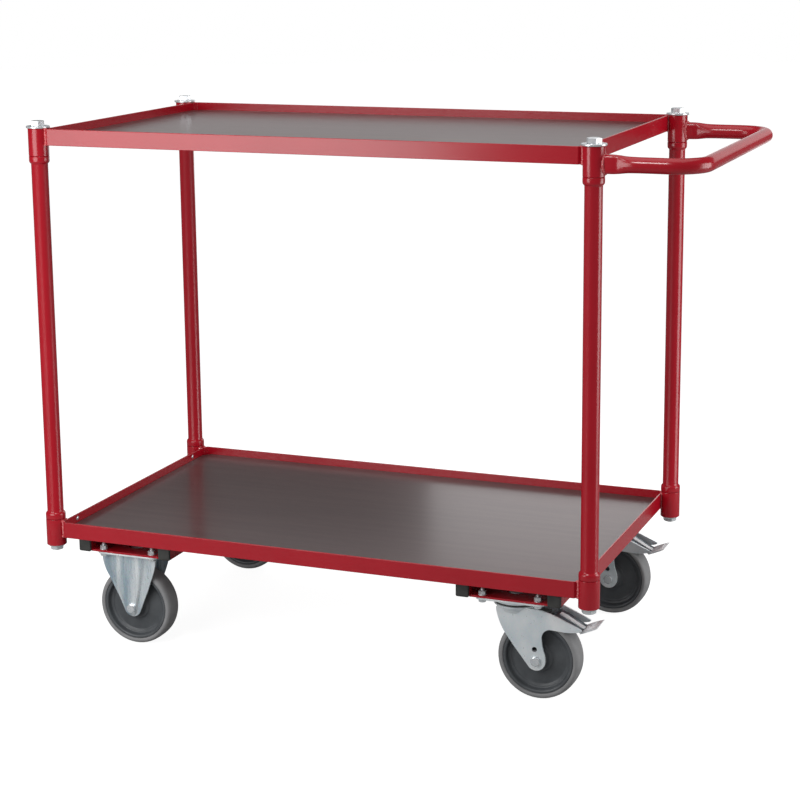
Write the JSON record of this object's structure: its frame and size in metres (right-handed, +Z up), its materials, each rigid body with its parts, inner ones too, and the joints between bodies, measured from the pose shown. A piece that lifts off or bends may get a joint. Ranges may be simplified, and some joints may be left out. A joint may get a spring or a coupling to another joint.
{
  "type": "table trolley",
  "caption": "Two-shelf table trolley with boards in angle frames, bolted tube posts, a push handle, rigid castors at one end and braked swivel castors at the other.",
  "frame": {"origin": "on the floor, under the centre of the whole trolley's bounding box", "axes": "+X towards the push handle, +Y from the front side to the rear side, +Z up"},
  "size_m": [1.0504, 0.5126, 0.8301],
  "materials": {
    "red_powder_coat": "glossy red powder coat",
    "board_film": "dark brown film-faced plywood, semi-gloss",
    "bright_zinc": "bright zinc plated",
    "pressed_zinc": "blue passivated zinc on pressed steel",
    "black_plastic": "moulded black plastic",
    "rim_plastic": "charcoal polypropylene, satin",
    "grey_rubber": "grey non-marking thermoplastic rubber, matt"
  },
  "bodies": {
    "root": {"axle_bolt_front_left": "bright_zinc", "axle_bolt_rear_left": "bright_zinc", "bottom_nut_front_left": "bright_zinc", "bottom_nut_front_right": "bright_zinc", "bottom_nut_rear_left": "bright_zinc", "bottom_nut_rear_right": "bright_zinc", "castor_carrier_left": "red_powder_coat", "castor_carrier_right": "red_powder_coat", "hub_bush_front_left": "bright_zinc", "hub_bush_rear_left": "bright_zinc", "king_pin_front_right": "bright_zinc", "king_pin_rear_right": "bright_zinc", "lower_shelf_board": "board_film", "lower_shelf_frame": "red_powder_coat", "post_front_left": "red_powder_coat", "post_front_right": "red_powder_coat", "post_rear_left": "red_powder_coat", "post_rear_right": "red_powder_coat", "push_handle": "red_powder_coat", "rigid_bracket_front_left": "pressed_zinc", "rigid_bracket_rear_left": "pressed_zinc", "swivel_top_plate_front_right": "pressed_zinc", "swivel_top_plate_rear_right": "pressed_zinc", "tie_rod_front_left": "bright_zinc", "tie_rod_front_right": "bright_zinc", "tie_rod_rear_left": "bright_zinc", "tie_rod_rear_right": "bright_zinc", "top_washer_front_left": "bright_zinc", "top_washer_front_right": "bright_zinc", "top_washer_rear_left": "bright_zinc", "top_washer_rear_right": "bright_zinc", "tube_cap_front_left_inner": "black_plastic", "tube_cap_front_left_outer": "black_plastic", "tube_cap_front_right_inner": "black_plastic", "tube_cap_front_right_outer": "black_plastic", "tube_cap_rear_left_inner": "black_plastic", "tube_cap_rear_left_outer": "black_plastic", "tube_cap_rear_right_inner": "black_plastic", "tube_cap_rear_right_outer": "black_plastic", "upper_shelf_board": "board_film", "upper_shelf_frame": "red_powder_coat"},
    "wheel_front_left": {"rim_front_left": "rim_plastic", "tyre_front_left": "grey_rubber"},
    "wheel_front_right": {"rim_front_right": "rim_plastic", "tyre_front_right": "grey_rubber"},
    "wheel_rear_left": {"rim_rear_left": "rim_plastic", "tyre_rear_left": "grey_rubber"},
    "wheel_rear_right": {"rim_rear_right": "rim_plastic", "tyre_rear_right": "grey_rubber"},
    "swivel_fork_front_right": {"fork_front_right": "pressed_zinc", "axle_bolt_front_right": "bright_zinc", "hub_bush_front_right": "bright_zinc"},
    "pedal_front_right": {"brake_pedal_front_right": "bright_zinc"},
    "shoe_front_right": {"brake_shoe_front_right": "black_plastic"},
    "swivel_fork_rear_right": {"fork_rear_right": "pressed_zinc", "axle_bolt_rear_right": "bright_zinc", "hub_bush_rear_right": "bright_zinc"},
    "pedal_rear_right": {"brake_pedal_rear_right": "bright_zinc"},
    "shoe_rear_right": {"brake_shoe_rear_right": "black_plastic"}
  },
  "joints": [
    {"name": "wheel_spin_front_left", "type": "hinge", "parent": "root", "child": "wheel_front_left", "pos_m": [-0.386, -0.196, 0.0625], "axis": [0, 1, 0], "continuous": true},
    {"name": "wheel_spin_rear_left", "type": "hinge", "parent": "root", "child": "wheel_rear_left", "pos_m": [-0.386, 0.196, 0.0625], "axis": [0, 1, 0], "continuous": true},
    {"name": "castor_swivel_front_right", "type": "hinge", "parent": "root", "child": "swivel_fork_front_right", "pos_m": [0.245, -0.196, 0.1425], "axis": [0, 0, 1], "continuous": true},
    {"name": "wheel_spin_front_right", "type": "hinge", "parent": "swivel_fork_front_right", "child": "wheel_front_right", "pos_m": [0.282, -0.196, 0.0625], "axis": [0, 1, 0], "continuous": true},
    {"name": "brake_pedal_press_front_right", "type": "hinge", "parent": "swivel_fork_front_right", "child": "pedal_front_right", "pos_m": [0.307, -0.196, 0.128], "axis": [0, 1, 0], "range_deg": [0, 14]},
    {"name": "brake_shoe_slide_front_right", "type": "slide", "parent": "swivel_fork_front_right", "child": "shoe_front_right", "axis": [0, 0, -1], "range_m": [0, 0.0024]},
    {"name": "castor_swivel_rear_right", "type": "hinge", "parent": "root", "child": "swivel_fork_rear_right", "pos_m": [0.245, 0.196, 0.1425], "axis": [0, 0, 1], "continuous": true},
    {"name": "wheel_spin_rear_right", "type": "hinge", "parent": "swivel_fork_rear_right", "child": "wheel_rear_right", "pos_m": [0.282, 0.196, 0.0625], "axis": [0, 1, 0], "continuous": true},
    {"name": "brake_pedal_press_rear_right", "type": "hinge", "parent": "swivel_fork_rear_right", "child": "pedal_rear_right", "pos_m": [0.307, 0.196, 0.128], "axis": [0, 1, 0], "range_deg": [0, 14]},
    {"name": "brake_shoe_slide_rear_right", "type": "slide", "parent": "swivel_fork_rear_right", "child": "shoe_rear_right", "axis": [0, 0, -1], "range_m": [0, 0.0024]}
  ],
  "couplings": [
    {"joint": "brake_shoe_slide_front_right", "follows": "brake_pedal_press_front_right", "m_per_rad": 0.0098},
    {"joint": "brake_shoe_slide_rear_right", "follows": "brake_pedal_press_rear_right", "m_per_rad": 0.0098}
  ]
}
